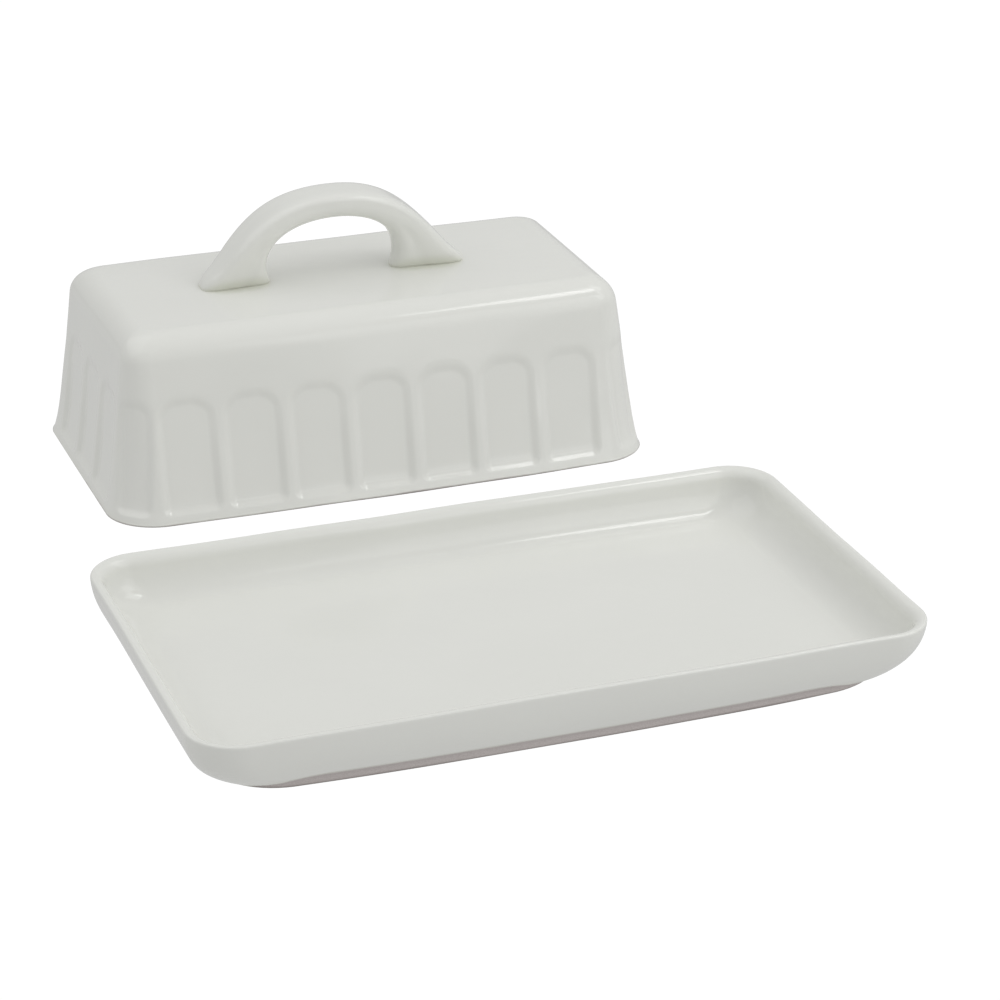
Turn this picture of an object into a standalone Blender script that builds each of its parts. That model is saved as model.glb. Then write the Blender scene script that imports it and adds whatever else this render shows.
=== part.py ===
"""A glazed stoneware butter dish: a shallow tray and a fluted cover with a strap handle.

Units are metres and +Z is up. The origin is on the table, at the centre of the whole set's footprint.
The tray stands in front (-Y) and the cover stands on the table behind it (+Y), long sides along X.
"""

import math

import bmesh
import bpy
from mathutils import Vector

# ---- driving dimensions -----------------------------------------------------------------------------

TRAY_HALF_LENGTH = 0.100
TRAY_HALF_WIDTH = 0.0595
TRAY_HEIGHT = 0.018
TRAY_CORNER = 0.0136            # corner radius of the rim, seen from above
RIM_OUTER_RADIUS = 0.0010       # rounding of the rim towards the outside
RIM_INNER_RADIUS = 0.0026       # rounding of the rim towards the inside
FLOOR_HEIGHT = 0.0056           # top of the flat floor, above the table
FLOOR_INSET = (0.0135, 0.0103)  # edge of the flat floor, in from the rim along X and Y
FLOOR_CORNER = 0.010
FOOT_INSET = (0.0085, 0.0065)   # outside of the foot ring, in from the rim along X and Y
FOOT_CORNER = 0.0195
CORNER_FADE = 4                 # how soon above the foot the wall's corners tighten to the rim's
FOOT_HEIGHT = 0.0022
FOOT_WIDTH = 0.0045
FOOT_RECESS = 0.0015            # the underside inside the foot ring stands this far off the table
FOOT_BOW = 0.0018               # the foot ring's long sides swell out by this much at their middle
WALL_PULL = ((0.0003, 0.0006), 0.0076)  # control point of the outer wall: insets along X and Y, height

COVER_HALF_LENGTH = 0.0838
COVER_HALF_WIDTH = 0.0486
COVER_HEIGHT = 0.0542           # to the flat top, without the handle
COVER_CORNER = (0.016, 0.008)   # corner radius at the base and at the shoulder
COVER_BOW = 0.0008
SHOULDER_HEIGHT = 0.0468        # where the rounding of the top edge starts
SHOULDER_INSET = (0.0071, 0.0106)   # how far the wall leans in up to there along X and Y
BASE_FLARE = 0.177              # share of the lean that happens in the flare at the base
FLARE_HEIGHT = 0.0052           # height over which that flare fades
COVER_EDGE = 0.0008             # rounding of the cover's bottom edge
COVER_WALL = 0.005
COVER_ROOF = 0.0052
INNER_ROUND = 0.0075            # rounding between the inner walls and the inner roof

FLUTE_PITCH = 0.0197
FLUTE_WIDTH = 0.0155
CORNER_FLUTE_WIDTH = 0.0105
FLUTE_BOTTOM = 0.0038
FLUTE_TOP = 0.0362
FLUTE_SHIFT = -0.0012           # the rows of flutes, from the middle of each side, along X or Y
FLUTE_DEPTH = 0.0010
CORNER_FLUTE_DEPTH = 0.0014
FLUTE_SHOULDER = 0.0055         # radius of the rounded shoulders of each arched flute
CORNER_FLUTE_SHOULDER = 0.0040
CUTTER_THICKNESS = 0.006
FLUTES_PER_SIDE = 7
FLUTES_PER_END = 3

HANDLE_SHIFT = -0.0029          # the handle's middle, along X from the cover's middle
JOIN_GAP = 0.0003               # kept between the handle's feet and the cover's top
HANDLE_BASE = COVER_HEIGHT + JOIN_GAP
# Control points (x, z) of the arch's outer and inner curves, from the crown to the end of a foot.
ARCH_OUTSIDE = ((0.0, 0.0808), (0.0200, 0.0808), (0.0268, 0.0718), (0.0410, HANDLE_BASE))
ARCH_INSIDE = ((0.0, 0.0728), (0.0138, 0.0728), (0.0241, 0.0660), (0.0187, HANDLE_BASE))
HANDLE_HALF_WIDTH = 0.0077
FOOT_HALF_WIDTH = 0.0044
WIDEST_SHARE = 0.66             # where the strap is widest, from its inner face to its outer face
ARCH_STEPS = 14

# The set as it stands: the cover behind the tray, a little to the right.
COVER_FROM_TRAY = (0.0065, 0.1585)
TRAY_PLACE = Vector((0.0, -(COVER_FROM_TRAY[1] + COVER_HALF_WIDTH - TRAY_HALF_WIDTH) / 2, 0.0))
COVER_PLACE = TRAY_PLACE + Vector((COVER_FROM_TRAY[0], COVER_FROM_TRAY[1], 0.0))

CORNER_STEPS = 6
SIDE_STEPS = 4
SHOULDER_STEPS = 7
SECTION_STEPS = 20              # points round the handle's section

GLAZE = (0.78, 0.78, 0.75, 1.0)
GLAZE_ROUGHNESS = 0.12


# ---- helpers ----------------------------------------------------------------------------------------


def clear_scene():
    for obj in list(bpy.data.objects):
        bpy.data.objects.remove(obj, do_unlink=True)


def new_collection(name):
    collection = bpy.data.collections.new(name)
    bpy.context.scene.collection.children.link(collection)
    return collection


def glaze(name, shade=1.0):
    material = bpy.data.materials.new(name)
    material.use_nodes = True
    surface = material.node_tree.nodes["Principled BSDF"]
    surface.inputs["Base Color"].default_value = [c * shade for c in GLAZE[:3]] + [1.0]
    surface.inputs["Roughness"].default_value = GLAZE_ROUGHNESS
    surface.inputs["Metallic"].default_value = 0.0
    return material


def outline(half_length, half_width, corner, z, bow=0.0):
    """A rounded rectangle at height z, counter-clockwise; its long sides swell out by bow."""
    straight_x = half_length - corner
    straight_y = half_width - corner
    quarter = []
    for step in range(SIDE_STEPS):
        y = straight_y * step / SIDE_STEPS
        quarter.append((half_length, y))
    for step in range(CORNER_STEPS + 1):
        angle = math.pi / 2 * step / CORNER_STEPS
        lift = bow * math.sin(angle)
        quarter.append((straight_x + corner * math.cos(angle), straight_y + corner * math.sin(angle) - lift))
    for step in range(1, SIDE_STEPS):
        share = 1 - step / SIDE_STEPS
        quarter.append((straight_x * share, half_width - bow * share**2))
    points = []
    for turn in range(4):
        for x, y in quarter if turn % 2 == 0 else [(0.0, half_width)] + quarter[:0:-1]:
            flip_x = -1 if turn in (1, 2) else 1
            flip_y = -1 if turn in (2, 3) else 1
            points.append(Vector((x * flip_x, y * flip_y, z)))
    return points


def loft(name, sections, collection, material):
    """Skins a list of closed sections with the same number of points and closes the ends."""
    bm = bmesh.new()
    rings = [[bm.verts.new(point) for point in section] for section in sections]
    count = len(rings[0])
    for lower, upper in zip(rings, rings[1:]):
        for i in range(count):
            j = (i + 1) % count
            bm.faces.new((lower[i], lower[j], upper[j], upper[i]))
    bm.faces.new(list(reversed(rings[0])))
    bm.faces.new(rings[-1])
    mesh = bpy.data.meshes.new(name)
    bm.to_mesh(mesh)
    bm.free()
    mesh.materials.append(material)
    mesh.shade_smooth()
    mesh.set_sharp_from_angle(angle=math.radians(40))
    obj = bpy.data.objects.new(name, mesh)
    collection.objects.link(obj)
    return obj


def arc_steps(count, start=0.0, end=math.pi / 2):
    return [start + (end - start) * step / count for step in range(count + 1)]


# ---- tray -------------------------------------------------------------------------------------------


def tray_section(inset_x, inset_y, corner, z, bow=0.0):
    return outline(TRAY_HALF_LENGTH - inset_x, TRAY_HALF_WIDTH - inset_y, corner, z, bow)


def tray_foot():
    """The foot ring, from the recessed underside out to its outer edge."""
    inner = [inset + FOOT_WIDTH for inset in FOOT_INSET]
    corner = FOOT_CORNER - FOOT_WIDTH
    return [
        tray_section(*inner, corner, FOOT_RECESS, FOOT_BOW),
        tray_section(*inner, corner, 0.0, FOOT_BOW),
        tray_section(*FOOT_INSET, FOOT_CORNER, 0.0, FOOT_BOW),
    ]


def tray_wall(steps=6):
    """The flared outer wall, a quadratic curve from the foot ring up to the rim."""
    pull, pull_height = WALL_PULL
    rim_height = TRAY_HEIGHT - RIM_OUTER_RADIUS
    sections = []
    for step in range(steps):
        t = step / steps
        low, mid, high = (1 - t) ** 2, 2 * t * (1 - t), t**2
        inset_x = low * FOOT_INSET[0] + mid * pull[0]
        inset_y = low * FOOT_INSET[1] + mid * pull[1]
        z = low * FOOT_HEIGHT + mid * pull_height + high * rim_height
        corner = TRAY_CORNER + (FOOT_CORNER - TRAY_CORNER) * (1 - t) ** CORNER_FADE
        sections.append(tray_section(inset_x, inset_y, corner, z, FOOT_BOW * (1 - t)))
    return sections


def tray_rim():
    """The rounded rim, over the top from the outside to the inside."""
    sections = []
    for angle in arc_steps(4):
        inset = RIM_OUTER_RADIUS * (1 - math.cos(angle))
        z = TRAY_HEIGHT - RIM_OUTER_RADIUS * (1 - math.sin(angle))
        sections.append(tray_section(inset, inset, TRAY_CORNER - inset, z))
    for angle in arc_steps(3)[1:]:
        inset = RIM_OUTER_RADIUS + RIM_INNER_RADIUS * math.sin(angle)
        z = TRAY_HEIGHT - RIM_INNER_RADIUS * (1 - math.cos(angle))
        sections.append(tray_section(inset, inset, TRAY_CORNER - inset, z))
    return sections


def tray_cove():
    """The inner wall, which sweeps down into the flat floor."""
    rim_inset = RIM_OUTER_RADIUS + RIM_INNER_RADIUS
    rim_height = TRAY_HEIGHT - RIM_INNER_RADIUS
    rim_corner = TRAY_CORNER - rim_inset
    sections = []
    for angle in arc_steps(7)[1:]:
        inward = 1 - math.cos(angle)
        inset_x = rim_inset + (FLOOR_INSET[0] - rim_inset) * inward
        inset_y = rim_inset + (FLOOR_INSET[1] - rim_inset) * inward
        z = FLOOR_HEIGHT + (rim_height - FLOOR_HEIGHT) * (1 - math.sin(angle))
        corner = rim_corner + (FLOOR_CORNER - rim_corner) * inward
        sections.append(tray_section(inset_x, inset_y, corner, z))
    return sections


def make_tray(collection):
    sections = tray_foot() + tray_wall() + tray_rim() + tray_cove()
    tray = loft("tray", sections, collection, glaze("tray_glaze"))
    tray.location = TRAY_PLACE
    return tray


# ---- cover ------------------------------------------------------------------------------------------


def lean(z):
    """How far the wall has leaned in at height z, as a share of its lean at the shoulder."""
    flare = 1 - math.exp(-z / FLARE_HEIGHT)
    return BASE_FLARE * flare + (1 - BASE_FLARE) * z / SHOULDER_HEIGHT


def cover_section(z, inward=(0.0, 0.0), extra_inward=0.0, height=None):
    """The cover's outline at height z, moved in by inward; height places it elsewhere in Z."""
    share = lean(z)
    inset_x = SHOULDER_INSET[0] * share + inward[0]
    inset_y = SHOULDER_INSET[1] * share + inward[1]
    corner = COVER_CORNER[0] + (COVER_CORNER[1] - COVER_CORNER[0]) * share - extra_inward
    half_length = COVER_HALF_LENGTH - inset_x
    half_width = COVER_HALF_WIDTH - inset_y
    return outline(half_length, half_width, corner, z if height is None else height, COVER_BOW)


def shoulder_turn(share):
    """The rounding of the top edge, tangent to the wall: how far in along X and Y, and the height."""
    inward = []
    for inset in SHOULDER_INSET:
        start = math.atan((1 - BASE_FLARE) * inset / SHOULDER_HEIGHT)
        radius = (COVER_HEIGHT - SHOULDER_HEIGHT) / (1 - math.sin(start))
        angle = start + (math.pi / 2 - start) * share
        inward.append(radius * (math.cos(start) - math.cos(angle)))
        height = SHOULDER_HEIGHT + radius * (math.sin(angle) - math.sin(start))
    return inward, height


def cover_inside():
    """The hollow, from its roof down to the flat bottom edge."""
    roof = COVER_HEIGHT - COVER_ROOF
    spring = roof - INNER_ROUND
    sections = []
    for angle in reversed(arc_steps(4)):
        inward = COVER_WALL + INNER_ROUND * (1 - math.cos(angle))
        height = spring + INNER_ROUND * math.sin(angle)
        sections.append(cover_section(spring, (inward, inward), 0.3 * inward, height))
    for z in (0.030, 0.018, 0.009, 0.004, 0.0):
        sections.append(cover_section(z, (COVER_WALL, COVER_WALL), 0.3 * COVER_WALL))
    return sections


def cover_outside():
    """The flared wall and the rounded top edge, from the flat bottom edge up to the flat top."""
    sections = []
    for angle in arc_steps(2):
        inward = COVER_EDGE * (1 - math.sin(angle))
        height = COVER_EDGE * (1 - math.cos(angle))
        sections.append(cover_section(0.0, (inward, inward), 0.0, height))
    for z in (0.002, 0.004, 0.0065, 0.010, 0.015, 0.022, 0.032, 0.040):
        sections.append(cover_section(z))
    for step in range(SHOULDER_STEPS + 1):
        inward, height = shoulder_turn(step / SHOULDER_STEPS)
        sections.append(cover_section(SHOULDER_HEIGHT, inward, 0.4 * inward[1], height))
    return sections


def flute_cutter(width, shoulder, name):
    """An upright slab with rounded upper corners; its back face is the plane y = 0."""
    height = FLUTE_TOP - FLUTE_BOTTOM
    bm = bmesh.new()
    bmesh.ops.create_cube(bm, size=1.0)
    bmesh.ops.scale(bm, vec=(width, CUTTER_THICKNESS, height), verts=bm.verts)
    bmesh.ops.translate(bm, vec=(0.0, CUTTER_THICKNESS / 2, 0.0), verts=bm.verts)
    upper = [e for e in bm.edges if all(v.co.z > 0 and v.co.x == e.verts[0].co.x for v in e.verts)]
    bmesh.ops.bevel(bm, geom=upper, offset=shoulder, segments=5, profile=0.5, affect="EDGES")
    mesh = bpy.data.meshes.new(name)
    bm.to_mesh(mesh)
    bm.free()
    return mesh


def corner_middle(z):
    """Centre of the corner's arc at height z, and the arc's radius."""
    share = lean(z)
    radius = COVER_CORNER[0] + (COVER_CORNER[1] - COVER_CORNER[0]) * share
    x = COVER_HALF_LENGTH - SHOULDER_INSET[0] * share - radius
    y = COVER_HALF_WIDTH - SHOULDER_INSET[1] * share - radius
    return x, y, radius


def wall_reach(z, normal, x):
    """How far the wall stands from the cover's middle in the direction normal, at a place along X."""
    corner_x, corner_y, radius = corner_middle(z)
    swell = COVER_BOW * min(1.0, (x / corner_x) ** 2)
    return corner_x * abs(normal.x) + (corner_y - swell) * abs(normal.y) + radius


def place_cutter(mesh, collection, parent, along, facing, depth):
    """Stands a cutter against the wall that faces the angle facing, at a distance along it."""
    middle = (FLUTE_BOTTOM + FLUTE_TOP) / 2
    normal = Vector((math.cos(facing), math.sin(facing), 0.0))
    tangent = Vector((-normal.y, normal.x, 0.0))
    x = tangent.x * along + normal.x * COVER_HALF_LENGTH
    low = wall_reach(FLUTE_BOTTOM, normal, x)
    high = wall_reach(FLUTE_TOP, normal, x)
    cutter = bpy.data.objects.new("flute_cutter", mesh)
    cutter.parent = parent
    cutter.location = normal * ((low + high) / 2 - depth) + tangent * along + Vector((0.0, 0.0, middle))
    tilt = math.atan2(low - high, FLUTE_TOP - FLUTE_BOTTOM)
    cutter.rotation_euler = (tilt, 0.0, facing - math.pi / 2)
    cutter.display_type = "WIRE"
    cutter.hide_render = True
    collection.objects.link(cutter)


def corner_offset(facing):
    """How far along its own face the middle of a corner flute lies."""
    x, y, _ = corner_middle((FLUTE_BOTTOM + FLUTE_TOP) / 2)
    x = math.copysign(x, math.cos(facing))
    y = math.copysign(y, math.sin(facing))
    return y * math.cos(facing) - x * math.sin(facing)


def make_flute_cutters(collection, parent):
    panel = flute_cutter(FLUTE_WIDTH, FLUTE_SHOULDER, "flute_panel")
    corner_panel = flute_cutter(CORNER_FLUTE_WIDTH, CORNER_FLUTE_SHOULDER, "corner_flute_panel")
    for quarter in range(4):
        facing = quarter * math.pi / 2
        count = FLUTES_PER_END if quarter % 2 == 0 else FLUTES_PER_SIDE
        shift = FLUTE_SHIFT if quarter in (0, 3) else -FLUTE_SHIFT
        for number in range(count):
            along = (number - (count - 1) / 2) * FLUTE_PITCH + shift
            place_cutter(panel, collection, parent, along, facing, FLUTE_DEPTH)
        facing += math.pi / 4
        place_cutter(corner_panel, collection, parent, corner_offset(facing), facing, CORNER_FLUTE_DEPTH)


def make_cover(collection, cutters):
    cover = loft("cover", cover_inside() + cover_outside(), collection, glaze("cover_glaze", 0.98))
    make_flute_cutters(cutters, cover)
    flutes = cover.modifiers.new("flutes", "BOOLEAN")
    flutes.operation = "DIFFERENCE"
    flutes.operand_type = "COLLECTION"
    flutes.collection = cutters
    flutes.solver = "EXACT"
    cover.location = COVER_PLACE
    return cover


# ---- handle -----------------------------------------------------------------------------------------


def arch_point(controls, t):
    """A point (x, z) on the cubic curve with four control points."""
    shares = ((1 - t) ** 3, 3 * t * (1 - t) ** 2, 3 * t**2 * (1 - t), t**3)
    return [sum(share * point[axis] for share, point in zip(shares, controls)) for axis in (0, 1)]


def handle_section(inside, outside, half_width):
    """A strap section across X: a nearly flat outer face with round edges, and a rounder inner face."""
    points = []
    for step in range(SECTION_STEPS):
        angle = 2 * math.pi * step / SECTION_STEPS
        power, reach = (0.56, 1 - WIDEST_SHARE) if math.sin(angle) >= 0 else (0.72, WIDEST_SHARE)
        across = -half_width * math.copysign(abs(math.cos(angle)) ** power, math.cos(angle))
        share = WIDEST_SHARE + reach * math.copysign(abs(math.sin(angle)) ** power, math.sin(angle))
        x = inside[0] + (outside[0] - inside[0]) * share
        z = inside[1] + (outside[1] - inside[1]) * share
        points.append(Vector((x, across, z)))
    return points


def handle_sections():
    """The right half of the handle, from its foot up to the open section at the top of the arch."""
    sections = []
    for step in range(ARCH_STEPS + 1):
        t = 1 - (step / ARCH_STEPS) ** 1.2
        half_width = HANDLE_HALF_WIDTH + (FOOT_HALF_WIDTH - HANDLE_HALF_WIDTH) * t**6
        sections.append(handle_section(arch_point(ARCH_INSIDE, t), arch_point(ARCH_OUTSIDE, t), half_width))
    return sections


def make_handle(collection, parent):
    handle = loft("handle", handle_sections(), collection, glaze("handle_glaze", 1.02))
    bm = bmesh.new()
    bm.from_mesh(handle.data)
    crown = [f for f in bm.faces if all(abs(v.co.x) < 1e-6 for v in f.verts)]
    bmesh.ops.delete(bm, geom=crown, context="FACES_ONLY")
    bm.to_mesh(handle.data)
    bm.free()
    mirror = handle.modifiers.new("left_half", "MIRROR")
    mirror.use_axis = (True, False, False)
    mirror.merge_threshold = 0.00001
    handle.parent = parent
    handle.location = (HANDLE_SHIFT, 0.0, 0.0)
    return handle


def main():
    clear_scene()
    parts = new_collection("butter_dish")
    cutters = new_collection("cutters")
    make_tray(parts)
    cover = make_cover(parts, cutters)
    make_handle(parts, cover)


main()
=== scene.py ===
import math

import bpy
import numpy as np
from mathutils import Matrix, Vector


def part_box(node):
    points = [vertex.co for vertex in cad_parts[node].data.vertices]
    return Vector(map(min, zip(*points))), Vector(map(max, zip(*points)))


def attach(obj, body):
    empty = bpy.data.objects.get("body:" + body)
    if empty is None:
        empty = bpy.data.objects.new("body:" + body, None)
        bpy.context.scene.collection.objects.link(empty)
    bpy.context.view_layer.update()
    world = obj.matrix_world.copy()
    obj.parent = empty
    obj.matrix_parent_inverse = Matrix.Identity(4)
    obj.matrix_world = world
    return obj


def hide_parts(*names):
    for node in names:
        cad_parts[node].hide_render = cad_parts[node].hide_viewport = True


# A white glazed stoneware butter dish: a footed tray, and a fluted cover with a strap handle behind it.
# Metres, +Z up, long sides along X. Each shown piece is built about its own middle and then placed.

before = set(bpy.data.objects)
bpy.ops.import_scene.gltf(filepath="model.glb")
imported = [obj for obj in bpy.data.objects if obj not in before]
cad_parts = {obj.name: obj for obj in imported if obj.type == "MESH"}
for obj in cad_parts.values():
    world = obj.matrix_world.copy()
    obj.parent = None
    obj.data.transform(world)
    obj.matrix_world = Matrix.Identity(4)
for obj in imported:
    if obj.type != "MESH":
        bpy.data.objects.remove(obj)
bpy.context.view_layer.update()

# ---- the tray's shape -------------------------------------------------------------------------------

TRAY_HALF = (0.100, 0.0595)
TRAY_HEIGHT = 0.018
TRAY_CORNER = 0.0136
RIM_OUTER = 0.0006
RIM_INNER = 0.0030
FLOOR_HEIGHT = 0.0056
FLOOR_INSET = (0.0135, 0.0103)
FLOOR_CORNER = 0.010
FOOT_INSET = (0.0085, 0.0065)
FOOT_CORNER = 0.0195
FOOT_HEIGHT = 0.0022
FOOT_WIDTH = 0.0045
FOOT_RECESS = 0.0015
FOOT_BOW = 0.0018
FOOT_EDGE = 0.0005
WALL_PULL = ((0.0003, 0.0006), 0.0076)  # control point of the outer wall: insets along X and Y, height
CORNER_FADE = 4                 # how soon above the foot the wall's corners tighten to the rim's
FOOT_MELT = (0.064, 0.088)      # along X from the middle, where the wall runs down over the foot ring
FOOT_MELTED_HEIGHT = 0.0006
FOOT_SIDE_LEVEL = 0.6           # a level on the foot ring's outside, as a share of its height
FOOT_SIDE_MELT = 0.45           # how far that level is drawn down with the wall

# ---- the cover's shape ------------------------------------------------------------------------------

COVER_HALF = (0.0838, 0.0486)
COVER_HEIGHT = 0.0542
COVER_CORNER = (0.016, 0.008)   # corner radius at the base and at the shoulder
COVER_BOW = 0.0008
SHOULDER_HEIGHT = 0.0468        # where the rounding of the top edge starts
SHOULDER_INSET = (0.0071, 0.0106)   # how far the wall leans in up to there along X and Y
BASE_FLARE = 0.177              # share of the lean that happens in the flare at the base
FLARE_HEIGHT = 0.0052           # height over which that flare fades
COVER_EDGE = 0.0009
COVER_WALL = 0.005
COVER_ROOF = 0.0052
INNER_ROUND = 0.0075
INNER_LEVELS = (0.030, 0.018, 0.009, 0.004, COVER_EDGE)
INNER_TIGHTEN = 0.3             # how much the corners tighten inwards, for each metre inwards
TOP_TIGHTEN = 0.4               # the same over the rounded top edge

FLUTE_PITCH = 0.0197
FLUTE_SHIFT = (-0.0013, -0.0012)    # the rows of flutes, from the middle of each side, along X or Y
FLUTE_WIDTH = 0.0188
CORNER_FLUTE_WIDTH = 0.0138
FLUTE_SPAN = (0.0025, 0.0376)
FLUTE_DEPTH = 0.0012
FLUTE_ARCH = 0.0074             # radius of the rounded shoulders of each flute
CORNER_FLUTE_ARCH = FLUTE_ARCH * 0.8
FLUTE_FOOT_ROUND = 0.0030
FLUTE_SOFT = 0.0017             # width of a flute's slope at its foot
FLUTE_SOFT_SIDE = 0.0012        # added to that width above the foot
FLUTE_SOFT_TOP = 0.0026         # added to that width round the arch
FLUTE_OVERRUN = 0.004           # how far the outermost flutes may run into the corners
FLUTE_FADE = 0.45               # how much shallower a flute is at its top
FLUTE_FADE_START = 0.012
FLUTE_FADE_RUN = 0.022
FLUTE_MARGIN = 0.0003           # close-set rings start this far beyond a flute's ends
LEDGE_HEIGHT = 0.0022
ARCH_DEPTH = 0.007
FLUTES_PER_SIDE = 7
FLUTES_PER_END = 3

# ---- the handle's shape -----------------------------------------------------------------------------

HANDLE_SINK = 0.0002            # the feet run this far into the cover's glaze
HANDLE_BASE = COVER_HEIGHT - HANDLE_SINK
ARCH_OUTSIDE = ((0.0, 0.0808), (0.0200, 0.0808), (0.0268, 0.0718), (0.0410, HANDLE_BASE))
ARCH_INSIDE = ((0.0, 0.0728), (0.0138, 0.0728), (0.0241, 0.0660), (0.0187, HANDLE_BASE))
HOLE_SHIFT = -0.0008            # the opening sits this far from the arch's middle
HEEL = (0.0009, 0.0026, 0.0030) # the swelling at the outer end of a foot: size, height and half height
HANDLE_HALF_WIDTH = 0.0077
FOOT_HALF_WIDTH = 0.0044
WIDEST_SHARE = 0.66             # where the strap is widest, from its inner face to its outer face
LEG_HOLLOW = (0.10, 0.38, 0.16) # the valley down a leg: its depth, and its middle and width across the strap
LEG_HOLLOW_START = 0.45         # where it starts, from the crown at 0 to the foot at 1
LEG_HOLLOW_RUN = 0.3
LEG_TAPER = 6                   # how late the strap narrows towards its feet
OUTER_ROUNDNESS = 0.56          # 1 makes the section a half ellipse, 0 a half rectangle
INNER_ROUNDNESS = 0.72
RING_SPREAD = 1.6               # sections stand closer together near the feet
FOOT_TUCK = (0.0004, 0.0010)    # how far a foot draws in where it meets the cover, and from what height

TAU = 2 * math.pi
RIPPLE_WAVES = 6
RIPPLE_LENGTH = 0.045
RIPPLE_HEIGHT = 0.00028


# ---- mesh helpers -----------------------------------------------------------------------------------


def smoothstep(x):
    x = np.clip(x, 0.0, 1.0)
    return x * x * (3 - 2 * x)


def outline(half, corner, bow=0.0, side_steps=(60, 36), corner_steps=16):
    """A rounded rectangle's points, counter-clockwise from (half[0], 0); its long sides swell by bow."""
    straight = (half[0] - corner, half[1] - corner)
    up = np.linspace(0, 1, side_steps[1], endpoint=False)
    turn = np.linspace(0, math.pi / 2, corner_steps, endpoint=False)
    along = np.linspace(1, 0, side_steps[0], endpoint=False)
    x = np.concatenate([np.full(len(up), half[0]), straight[0] + corner * np.cos(turn), straight[0] * along])
    y = np.concatenate([
        straight[1] * up,
        straight[1] + corner * np.sin(turn) - bow * np.sin(turn),
        half[1] - bow * along**2,
    ])
    first = np.stack([x, y], axis=1)
    middle = np.array([[0.0, half[1]]])
    second = np.concatenate([middle, first[:0:-1]]) * (-1, 1)
    return np.concatenate([first, second, -first, -second])


def ring(points, z):
    return np.column_stack([points, np.full(len(points), z)])


def ripple(points, seed):
    """The slow, smooth unevenness left by hand sponging."""
    rng = np.random.default_rng(seed)
    total = np.zeros(len(points))
    for _ in range(RIPPLE_WAVES):
        direction = rng.normal(size=3)
        direction /= np.linalg.norm(direction)
        wave = RIPPLE_LENGTH * rng.uniform(0.6, 1.6)
        total += np.sin(points @ direction * TAU / wave + rng.uniform(0, TAU))
    return RIPPLE_HEIGHT * total / RIPPLE_WAVES


def skin(name, rings, seed):
    """A closed mesh through rings of equal length, with flat ends, and slightly uneven all over."""
    count = len(rings[0])
    vertices = np.concatenate(rings)
    vertices += np.column_stack([ripple(vertices, seed + axis) for axis in range(3)])
    here = np.arange(count)
    after = (here + 1) % count
    faces = []
    for level in range(len(rings) - 1):
        low = level * count
        high = low + count
        faces.extend(np.stack([low + here, low + after, high + after, high + here], axis=1).tolist())
    faces.append(list(range(count))[::-1])
    faces.append([len(vertices) - count + i for i in range(count)])
    mesh = bpy.data.meshes.new(name)
    mesh.from_pydata(vertices.tolist(), [], faces)
    mesh.update()
    mesh.shade_smooth()
    obj = bpy.data.objects.new(name, mesh)
    bpy.context.scene.collection.objects.link(obj)
    return obj


# ---- tray -------------------------------------------------------------------------------------------


def tray_ring(inset, corner, z, bow=0.0):
    half = (TRAY_HALF[0] - inset[0], TRAY_HALF[1] - inset[1])
    return ring(outline(half, corner, bow), z)


def melted(points, low):
    """Draws the wall's lower part down over the foot ring towards the tray's ends; low is 1 at the foot."""
    start, end = FOOT_MELT
    share = smoothstep((np.abs(points[:, 0]) - start) / (end - start))
    points[:, 2] -= (FOOT_HEIGHT - FOOT_MELTED_HEIGHT) * low * share
    return points


def tray_rings():
    rings = []
    inner = [inset + FOOT_WIDTH for inset in FOOT_INSET]
    rings.append(tray_ring(inner, FOOT_CORNER - FOOT_WIDTH, FOOT_RECESS, FOOT_BOW))
    for angle in np.linspace(0, math.pi / 2, 4):
        inset = [i - FOOT_EDGE * (1 - math.cos(angle)) for i in inner]
        z = FOOT_EDGE * (1 - math.sin(angle))
        rings.append(tray_ring(inset, FOOT_CORNER - FOOT_WIDTH, z, FOOT_BOW))
    for angle in np.linspace(0, math.pi / 2, 4):
        inset = [i + FOOT_EDGE * (1 - math.sin(angle)) for i in FOOT_INSET]
        z = FOOT_EDGE * (1 - math.cos(angle))
        rings.append(tray_ring(inset, FOOT_CORNER, z, FOOT_BOW))
    foot_side = tray_ring(FOOT_INSET, FOOT_CORNER, FOOT_HEIGHT * FOOT_SIDE_LEVEL, FOOT_BOW)
    rings.append(melted(foot_side, FOOT_SIDE_MELT))
    pull, pull_z = WALL_PULL
    top = TRAY_HEIGHT - RIM_OUTER
    for t in np.linspace(0, 1, 28, endpoint=False):
        low, mid, high = (1 - t) ** 2, 2 * t * (1 - t), t**2
        inset = [low * foot + mid * p for foot, p in zip(FOOT_INSET, pull)]
        z = low * FOOT_HEIGHT + mid * pull_z + high * top
        corner = TRAY_CORNER + (FOOT_CORNER - TRAY_CORNER) * (1 - t) ** CORNER_FADE
        rings.append(melted(tray_ring(inset, corner, z, FOOT_BOW * (1 - t)), low))
    for angle in np.linspace(0, math.pi / 2, 9):
        inset = RIM_OUTER * (1 - math.cos(angle))
        z = TRAY_HEIGHT - RIM_OUTER * (1 - math.sin(angle))
        rings.append(tray_ring((inset, inset), TRAY_CORNER - inset, z))
    for angle in np.linspace(0, math.pi / 2, 9)[1:]:
        inset = RIM_OUTER + RIM_INNER * math.sin(angle)
        z = TRAY_HEIGHT - RIM_INNER * (1 - math.cos(angle))
        rings.append(tray_ring((inset, inset), TRAY_CORNER - inset, z))
    rim = RIM_OUTER + RIM_INNER
    rim_z = TRAY_HEIGHT - RIM_INNER
    for angle in np.linspace(0, math.pi / 2, 32)[1:]:
        inward = 1 - math.cos(angle)
        inset = [rim + (floor - rim) * inward for floor in FLOOR_INSET]
        z = FLOOR_HEIGHT + (rim_z - FLOOR_HEIGHT) * (1 - math.sin(angle))
        corner = TRAY_CORNER - rim + (FLOOR_CORNER - TRAY_CORNER + rim) * inward
        rings.append(tray_ring(inset, corner, z))
    return rings


# ---- cover ------------------------------------------------------------------------------------------


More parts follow.
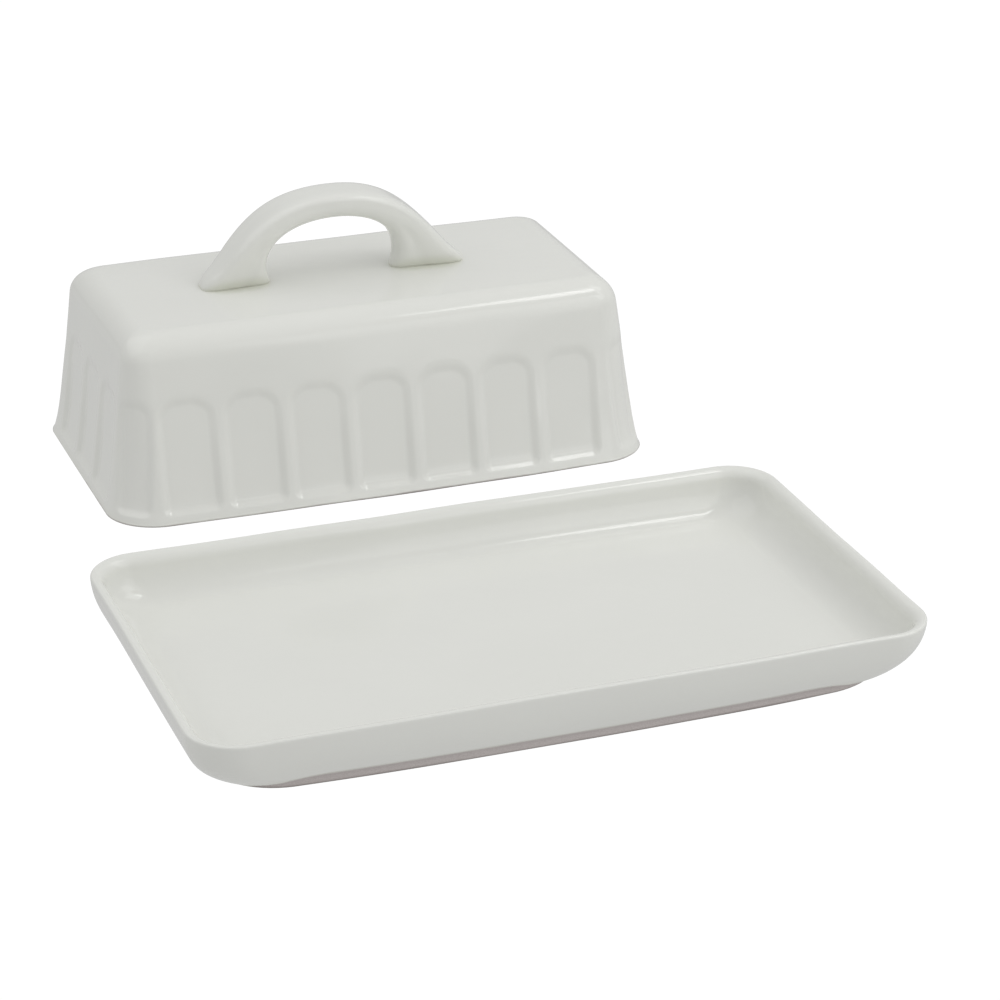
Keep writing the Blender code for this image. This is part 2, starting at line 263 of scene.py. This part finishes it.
def lean(z):
    """How far the wall has leaned in at height z, as a share of its lean at the shoulder."""
    return BASE_FLARE * (1 - math.exp(-z / FLARE_HEIGHT)) + (1 - BASE_FLARE) * z / SHOULDER_HEIGHT


def cover_ring(z, inward=(0.0, 0.0), sharpen=0.0, height=None, steps=(210, 120)):
    share = lean(z)
    half = [COVER_HALF[i] - SHOULDER_INSET[i] * share - inward[i] for i in (0, 1)]
    corner = COVER_CORNER[0] + (COVER_CORNER[1] - COVER_CORNER[0]) * share - sharpen
    return ring(outline(half, corner, COVER_BOW, steps, 36), z if height is None else height)


def shoulder_turn(share):
    """The rounding of the top edge, tangent to the wall: how far in along X and Y, and the height."""
    inward = []
    for inset in SHOULDER_INSET:
        start = math.atan((1 - BASE_FLARE) * inset / SHOULDER_HEIGHT)
        radius = (COVER_HEIGHT - SHOULDER_HEIGHT) / (1 - math.sin(start))
        angle = start + (math.pi / 2 - start) * share
        inward.append(radius * (math.cos(start) - math.cos(angle)))
        height = SHOULDER_HEIGHT + radius * (math.sin(angle) - math.sin(start))
    return inward, height


def flute_mask(across, z, half_width, arch):
    """1 on a flute's floor, 0 outside it; the flute is an upright panel with a rounded top."""
    low, high = FLUTE_SPAN
    radius = np.where(z > (low + high) / 2, arch, FLUTE_FOOT_ROUND)
    qx = np.abs(across) - half_width + radius
    qz = np.abs(z - (low + high) / 2) - (high - low) / 2 + radius
    outside = np.hypot(np.maximum(qx, 0), np.maximum(qz, 0)) + np.minimum(np.maximum(qx, qz), 0) - radius
    rise = (z - low) / (high - low)
    soft = FLUTE_SOFT + FLUTE_SOFT_SIDE * smoothstep(rise * 10) + FLUTE_SOFT_TOP * smoothstep(rise * 4 - 3)
    return smoothstep(-outside / soft)


def flute_depth(points, z):
    """How deep the flutes cut at each point of the ring at height z."""
    share = lean(z)
    corner = COVER_CORNER[0] + (COVER_CORNER[1] - COVER_CORNER[0]) * share
    straight = [COVER_HALF[i] - SHOULDER_INSET[i] * share - corner for i in (0, 1)]
    x, y = np.abs(points[:, 0]), np.abs(points[:, 1])
    mask = np.zeros(len(points))
    heights = np.full(len(points), z)
    for axis, count in ((0, FLUTES_PER_SIDE), (1, FLUTES_PER_END)):
        here = points[:, axis] - FLUTE_SHIFT[axis]
        along, across = (x, y) if axis == 0 else (y, x)
        on_side = (along <= straight[axis] + FLUTE_OVERRUN) & (across > straight[1 - axis] + corner / 2)
        last = (count - 1) // 2
        nearest = np.clip(np.round(here / FLUTE_PITCH), -last, last) * FLUTE_PITCH
        panel = flute_mask(here - nearest, heights, FLUTE_WIDTH / 2, FLUTE_ARCH)
        mask = np.maximum(mask, on_side * panel)
    turn = np.arctan2(y - straight[1], x - straight[0])
    on_corner = (x > straight[0]) & (y > straight[1])
    across = (turn - math.pi / 4) * corner
    panel = flute_mask(across, heights, CORNER_FLUTE_WIDTH / 2, CORNER_FLUTE_ARCH)
    mask = np.maximum(mask, on_corner * panel)
    return FLUTE_DEPTH * (1 - FLUTE_FADE * smoothstep((z - FLUTE_FADE_START) / FLUTE_FADE_RUN)) * mask


def sink(points, depth):
    """Moves a ring's points towards the inside of the ring, square to it."""
    ahead = np.roll(points, -1, axis=0) - np.roll(points, 1, axis=0)
    length = np.hypot(ahead[:, 0], ahead[:, 1])
    inward = np.column_stack([-ahead[:, 1], ahead[:, 0], np.zeros(len(points))]) / length[:, None]
    return points + inward * depth[:, None]


def cover_rings():
    rings = []
    roof = COVER_HEIGHT - COVER_ROOF
    spring = roof - INNER_ROUND
    for angle in np.linspace(math.pi / 2, 0, 10):
        inward = COVER_WALL + INNER_ROUND * (1 - math.cos(angle))
        height = spring + INNER_ROUND * math.sin(angle)
        rings.append(cover_ring(spring, (inward, inward), INNER_TIGHTEN * inward, height))
    for z in INNER_LEVELS:
        rings.append(cover_ring(z, (COVER_WALL, COVER_WALL), INNER_TIGHTEN * COVER_WALL))
    for angle in np.linspace(0, math.pi / 2, 4)[1:]:
        inward = COVER_WALL - COVER_EDGE * (1 - math.cos(angle))
        height = COVER_EDGE * (1 - math.sin(angle))
        rings.append(cover_ring(0.0, (inward, inward), INNER_TIGHTEN * inward, height))
    for angle in np.linspace(0, math.pi / 2, 6)[:-1]:
        inward = COVER_EDGE * (1 - math.sin(angle))
        height = COVER_EDGE * (1 - math.cos(angle))
        rings.append(cover_ring(0.0, (inward, inward), 0.0, height))
    low, high = FLUTE_SPAN
    levels = np.concatenate([
        np.linspace(COVER_EDGE, low - FLUTE_MARGIN, 6, endpoint=False),
        np.linspace(low - FLUTE_MARGIN, low + LEDGE_HEIGHT, 14, endpoint=False),
        np.linspace(low + LEDGE_HEIGHT, high - ARCH_DEPTH, 20, endpoint=False),
        np.linspace(high - ARCH_DEPTH, high + FLUTE_MARGIN, 18, endpoint=False),
        np.linspace(high + FLUTE_MARGIN, SHOULDER_HEIGHT, 7, endpoint=False),
    ])
    for z in levels:
        points = cover_ring(z)
        rings.append(sink(points, flute_depth(points, z)))
    for share in np.linspace(0, 1, 24):
        inward, height = shoulder_turn(share)
        rings.append(cover_ring(SHOULDER_HEIGHT, inward, TOP_TIGHTEN * inward[1], height))
    return rings


# ---- handle -----------------------------------------------------------------------------------------


def arch_point(controls, t):
    shares = ((1 - t) ** 3, 3 * t * (1 - t) ** 2, 3 * t**2 * (1 - t), t**3)
    return np.array([sum(s * p[axis] for s, p in zip(shares, controls)) for axis in (0, 1)])


def handle_ring(t, side, steps=96):
    """A section of the strap at t along one half of the arch: 0 at the crown, 1 at a foot."""
    inside = arch_point(ARCH_INSIDE, t)
    outside = arch_point(ARCH_OUTSIDE, t)
    swell, swell_height, swell_reach = HEEL
    inside[0] += side * HOLE_SHIFT
    outside[0] += swell * math.exp(-(((outside[1] - HANDLE_BASE - swell_height) / swell_reach) ** 2))
    half_width = HANDLE_HALF_WIDTH + (FOOT_HALF_WIDTH - HANDLE_HALF_WIDTH) * t**LEG_TAPER
    angle = np.linspace(0, TAU, steps, endpoint=False)
    upper = np.sin(angle) >= 0
    power = np.where(upper, OUTER_ROUNDNESS, INNER_ROUNDNESS)
    across = -half_width * np.sign(np.cos(angle)) * np.abs(np.cos(angle)) ** power
    reach = np.where(upper, 1 - WIDEST_SHARE, WIDEST_SHARE)
    share = WIDEST_SHARE + reach * np.sign(np.sin(angle)) * np.abs(np.sin(angle)) ** power
    depth, middle, width = LEG_HOLLOW
    amount = depth * smoothstep((t - LEG_HOLLOW_START) / LEG_HOLLOW_RUN)
    across *= 1 - amount * np.exp(-((share - middle) / width) ** 2)
    path = inside + (outside - inside) * share[:, None]
    tuck, rise = FOOT_TUCK
    run = -tuck * np.clip(1 - (path[:, 1] - HANDLE_BASE) / rise, 0, 1) ** 2
    along = path[:, 0] - (inside[0] + outside[0]) / 2
    away = np.hypot(along, across)
    return np.column_stack([
        side * (path[:, 0] + run * along / away),
        across * (1 + run / away),
        path[:, 1],
    ])


def handle_rings():
    spread = 1 - np.linspace(0, 1, 64) ** RING_SPREAD
    right = [handle_ring(t, 1) for t in spread]
    left = [handle_ring(t, -1) for t in spread[-2::-1]]
    return right + left


# ---- materials --------------------------------------------------------------------------------------

GLAZE_WHITE = (0.84, 0.846, 0.804)
HOLLOW_SHADE_TINT = (0.90, 0.905, 0.86)       # painted shade: the glaze darkened in hollows, against the rest
HOLLOW_SHADE_REACH = 0.005                      # how near a neighbouring face makes a hollow
HOLLOW_SHADE_OPENNESS = (0.45, 0.95)            # fully shaded, not shaded at all
CLOUD_TINT = 0.985
CLOUD_SCALE = 22
CLOUD_RANGE = (0.3, 0.7)
GLAZE_ROUGHNESS = 0.09
GLAZE_IOR = 1.5
CLAY_ROUGHNESS = 0.75
GRAIN_SCALE = 3000
GRAIN_RANGE = (0.35, 0.65)
CLAY = (0.585, 0.54, 0.525)
CLAY_DARK = (0.53, 0.485, 0.47)
CONTACT_SHADOW = (0.20, 0.17, 0.16)          # painted contact shadow along the edge that stands on the table
CONTACT_SHADOW_HEIGHT = 0.0010
GLAZE_LINE_WAVER = 0.0005
GLAZE_LINE_SCALE = 140
GLAZE_LINE_SOFTNESS = 0.0003
GLAZE_PEEL = 0.00004                    # the height of the glaze's fine unevenness
GLAZE_PEEL_SCALE = 160
TRAY_BARE = 0.0032
TRAY_BARE_TAPER = (0.070, 0.088)        # towards the ends the glaze runs lower, down to the table
COVER_BARE = 0.0006
COVER_BARE_TAPER = (0.20, 0.21)         # beyond its ends: the cover's bare edge runs all the way round


def new_material(name):
    material = bpy.data.materials.new(name)
    material.use_nodes = True
    nodes = material.node_tree.nodes
    return material, nodes, material.node_tree.links, nodes["Principled BSDF"]


def blend(nodes, links, factor, first, second):
    """The first colour where factor is 0, the second where it is 1."""
    mix = nodes.new("ShaderNodeMix")
    mix.data_type = "RGBA"
    links.new(factor, mix.inputs["Factor"])
    for slot, colour in (("A", first), ("B", second)):
        if isinstance(colour, tuple):
            mix.inputs[slot].default_value = (*colour, 1)
        else:
            links.new(colour, mix.inputs[slot])
    return mix.outputs["Result"]


def mapped(nodes, links, value, low, high, out_low=0.0, out_high=1.0):
    """The value brought smoothly from [low, high] to [out_low, out_high]."""
    node = nodes.new("ShaderNodeMapRange")
    node.interpolation_type = "SMOOTHSTEP"
    links.new(value, node.inputs["Value"])
    for slot, number in (("From Min", low), ("From Max", high), ("To Min", out_low), ("To Max", out_high)):
        node.inputs[slot].default_value = number
    return node.outputs["Result"]


def noise(nodes, links, place, scale, detail):
    node = nodes.new("ShaderNodeTexNoise")
    node.inputs["Scale"].default_value = scale
    node.inputs["Detail"].default_value = detail
    links.new(place, node.inputs["Vector"])
    return node.outputs["Fac"]


def glaze(name, colour, bare_below, taper):
    """White glaze over stoneware; below the height bare_below, on an uneven line, the clay is left bare.

    The bare band narrows to nothing between the two distances of taper, along X from the middle.
    """
    material, nodes, links, surface = new_material(name)
    place = nodes.new("ShaderNodeTexCoord").outputs["Object"]
    hollow_shade_colour = tuple(c * t for c, t in zip(colour, HOLLOW_SHADE_TINT))
    cloud = mapped(nodes, links, noise(nodes, links, place, CLOUD_SCALE, 3), *CLOUD_RANGE)
    coat = blend(nodes, links, cloud, colour, tuple(c * CLOUD_TINT for c in colour))
    # painted shade: the coat is darkened where other faces stand near, at flute edges, under the handle and
    # round its feet
    openness = nodes.new("ShaderNodeAmbientOcclusion")
    openness.inputs["Distance"].default_value = HOLLOW_SHADE_REACH
    hollow = mapped(nodes, links, openness.outputs["AO"], *HOLLOW_SHADE_OPENNESS, 1, 0)
    coat = blend(nodes, links, hollow, coat, hollow_shade_colour)
    split = nodes.new("ShaderNodeSeparateXYZ")
    links.new(place, split.inputs["Vector"])
    waver = nodes.new("ShaderNodeMath")
    waver.operation = "MULTIPLY_ADD"
    links.new(noise(nodes, links, place, GLAZE_LINE_SCALE, 2), waver.inputs[0])
    waver.inputs[1].default_value = GLAZE_LINE_WAVER
    links.new(split.outputs["Z"], waver.inputs[2])
    from_middle = nodes.new("ShaderNodeMath")
    from_middle.operation = "ABSOLUTE"
    links.new(split.outputs["X"], from_middle.inputs[0])
    above = nodes.new("ShaderNodeMath")
    above.operation = "ADD"
    links.new(waver.outputs["Value"], above.inputs[0])
    links.new(mapped(nodes, links, from_middle.outputs["Value"], *taper, 0, bare_below), above.inputs[1])
    middle = bare_below + GLAZE_LINE_WAVER / 2
    edges = (middle - GLAZE_LINE_SOFTNESS, middle + GLAZE_LINE_SOFTNESS)
    bare = mapped(nodes, links, above.outputs["Value"], *edges, 1, 0)
    grain = mapped(nodes, links, noise(nodes, links, place, GRAIN_SCALE, 2), *GRAIN_RANGE)
    clay = blend(nodes, links, grain, CLAY, CLAY_DARK)
    # painted shadow: the clay is darker along the very bottom, where the pieces stand on the table
    contact_shadow = mapped(nodes, links, split.outputs["Z"], 0, CONTACT_SHADOW_HEIGHT, 1, 0)
    clay = blend(nodes, links, contact_shadow, clay, CONTACT_SHADOW)
    links.new(blend(nodes, links, bare, coat, clay), surface.inputs["Base Color"])
    links.new(mapped(nodes, links, bare, 0, 1, GLAZE_ROUGHNESS, CLAY_ROUGHNESS), surface.inputs["Roughness"])
    surface.inputs["IOR"].default_value = GLAZE_IOR
    peel = nodes.new("ShaderNodeBump")
    peel.inputs["Strength"].default_value = 1.0
    peel.inputs["Distance"].default_value = GLAZE_PEEL
    links.new(noise(nodes, links, place, GLAZE_PEEL_SCALE, 2), peel.inputs["Height"])
    links.new(peel.outputs["Normal"], surface.inputs["Normal"])
    return material


# ---- pieces -----------------------------------------------------------------------------------------


def middle_of(node):
    low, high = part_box(node)
    return Vector(((low.x + high.x) / 2, (low.y + high.y) / 2, 0.0))


TRAY_GLAZE = glaze("tray_glaze_white", GLAZE_WHITE, TRAY_BARE, TRAY_BARE_TAPER)
COVER_GLAZE = glaze("cover_glaze_white", GLAZE_WHITE, COVER_BARE, COVER_BARE_TAPER)

tray = skin("tray_glazed", tray_rings(), 10)
tray.location = middle_of("tray")
tray.data.materials.append(TRAY_GLAZE)
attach(tray, "tray")
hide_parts("tray")

cover = skin("cover_glazed", cover_rings(), 20)
cover.location = middle_of("cover")
cover.data.materials.append(COVER_GLAZE)
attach(cover, "cover")
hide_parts("cover")

handle = skin("handle_glazed", handle_rings(), 30)
handle.location = middle_of("handle")
handle.data.materials.append(COVER_GLAZE)
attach(handle, "cover")
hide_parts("handle")

# ---- stage ------------------------------------------------------------------------------------------

CAMERA_TURN = math.radians(-20.23)
CAMERA_RISE = math.radians(23.70)
CAMERA_DISTANCE = 0.877
CAMERA_LENS = 118.5                     # millimetres, on a sensor 36 wide
CAMERA_SENSOR = 36
AIM = Vector((0.0049, -0.0581, 0.0378))
FLOOR_HALF = 6.0
FLOOR_DROP = 0.0001                     # keeps it clear of the pieces' undersides
FLOOR_SEEN = 1.03                       # the floor's glow as the camera sees it
FLOOR_GLOW = 0.59                       # its glow on the objects, near them
FLOOR_FAR_GLOW = 0.45                   # its glow on the objects, far from them
FLOOR_REACH = (0.2, 0.9)                # where the glow starts to change, and where it has changed
TENT_GLOW = 0.56
LIGHT_CENTRE = Vector((0.0, 0.0, 0.02))
LIGHT_DISTANCE = 0.85
SMALL_BOX = (0.42, 0.32)
LARGE_BOX = (1.10, 0.80)
GLINT_BOX = (0.20, 0.15)
SOFT_BOXES = (                          # name, azimuth, elevation, size, radiance
    ("right_high", 100, 54, SMALL_BOX, 1.51),
    ("right_middle", 125, 32, SMALL_BOX, 1.30),
    ("right_top", 123, 60, GLINT_BOX, 3.20),
    ("front_low", 150, 10, SMALL_BOX, 0.76),
    ("front_middle", 150, 32, SMALL_BOX, 0.84),
    ("left", 293, 57, LARGE_BOX, 0.53),
)


def add_floor():
    mesh = bpy.data.meshes.new("floor")
    corners = [(x * FLOOR_HALF, y * FLOOR_HALF, 0) for x, y in ((-1, -1), (1, -1), (1, 1), (-1, 1))]
    mesh.from_pydata(corners, [], [(0, 1, 2, 3)])
    floor = bpy.data.objects.new("floor", mesh)
    floor.location.z = -FLOOR_DROP
    bpy.context.scene.collection.objects.link(floor)
    material, nodes, links, surface = new_material("floor_white")
    nodes.remove(surface)
    distance = nodes.new("ShaderNodeVectorMath")
    distance.operation = "LENGTH"
    links.new(nodes.new("ShaderNodeNewGeometry").outputs["Position"], distance.inputs[0])
    near = mapped(nodes, links, distance.outputs["Value"], *FLOOR_REACH, FLOOR_GLOW, FLOOR_FAR_GLOW)
    strength = nodes.new("ShaderNodeMix")
    strength.inputs["B"].default_value = FLOOR_SEEN
    links.new(nodes.new("ShaderNodeLightPath").outputs["Is Camera Ray"], strength.inputs["Factor"])
    links.new(near, strength.inputs["A"])
    glow = nodes.new("ShaderNodeEmission")
    links.new(strength.outputs["Result"], glow.inputs["Strength"])
    links.new(glow.outputs["Emission"], nodes["Material Output"].inputs["Surface"])
    mesh.materials.append(material)


def add_soft_box(name, azimuth, elevation, size, radiance):
    """A rectangle of light facing the objects; azimuth 0 is +Y and 90 is +X, both angles in degrees."""
    azimuth, elevation = math.radians(azimuth), math.radians(elevation)
    direction = Vector((
        math.sin(azimuth) * math.cos(elevation),
        math.cos(azimuth) * math.cos(elevation),
        math.sin(elevation),
    ))
    data = bpy.data.lights.new(name, "AREA")
    data.shape = "RECTANGLE"
    data.size, data.size_y = size
    data.energy = math.pi * size[0] * size[1] * radiance
    lamp = bpy.data.objects.new(name, data)
    lamp.location = LIGHT_CENTRE + direction * LIGHT_DISTANCE
    lamp.rotation_mode = "QUATERNION"
    lamp.rotation_quaternion = (-direction).to_track_quat("-Z", "Y")
    bpy.context.scene.collection.objects.link(lamp)


def add_world():
    world = bpy.data.worlds.new("studio")
    bpy.context.scene.world = world
    world.use_nodes = True
    background = world.node_tree.nodes["Background"]
    background.inputs["Color"].default_value = (1, 1, 1, 1)
    background.inputs["Strength"].default_value = TENT_GLOW


def add_camera():
    data = bpy.data.cameras.new("camera")
    data.lens = CAMERA_LENS
    data.sensor_width = CAMERA_SENSOR
    camera = bpy.data.objects.new("camera", data)
    back = Vector((
        math.sin(CAMERA_TURN) * math.cos(CAMERA_RISE),
        -math.cos(CAMERA_TURN) * math.cos(CAMERA_RISE),
        math.sin(CAMERA_RISE),
    ))
    camera.location = AIM + back * CAMERA_DISTANCE
    camera.rotation_mode = "QUATERNION"
    camera.rotation_quaternion = (-back).to_track_quat("-Z", "Y")
    bpy.context.scene.collection.objects.link(camera)
    bpy.context.scene.camera = camera


add_floor()
add_world()
for soft_box in SOFT_BOXES:
    add_soft_box(*soft_box)
add_camera()
bpy.context.scene.view_settings.view_transform = "Standard"
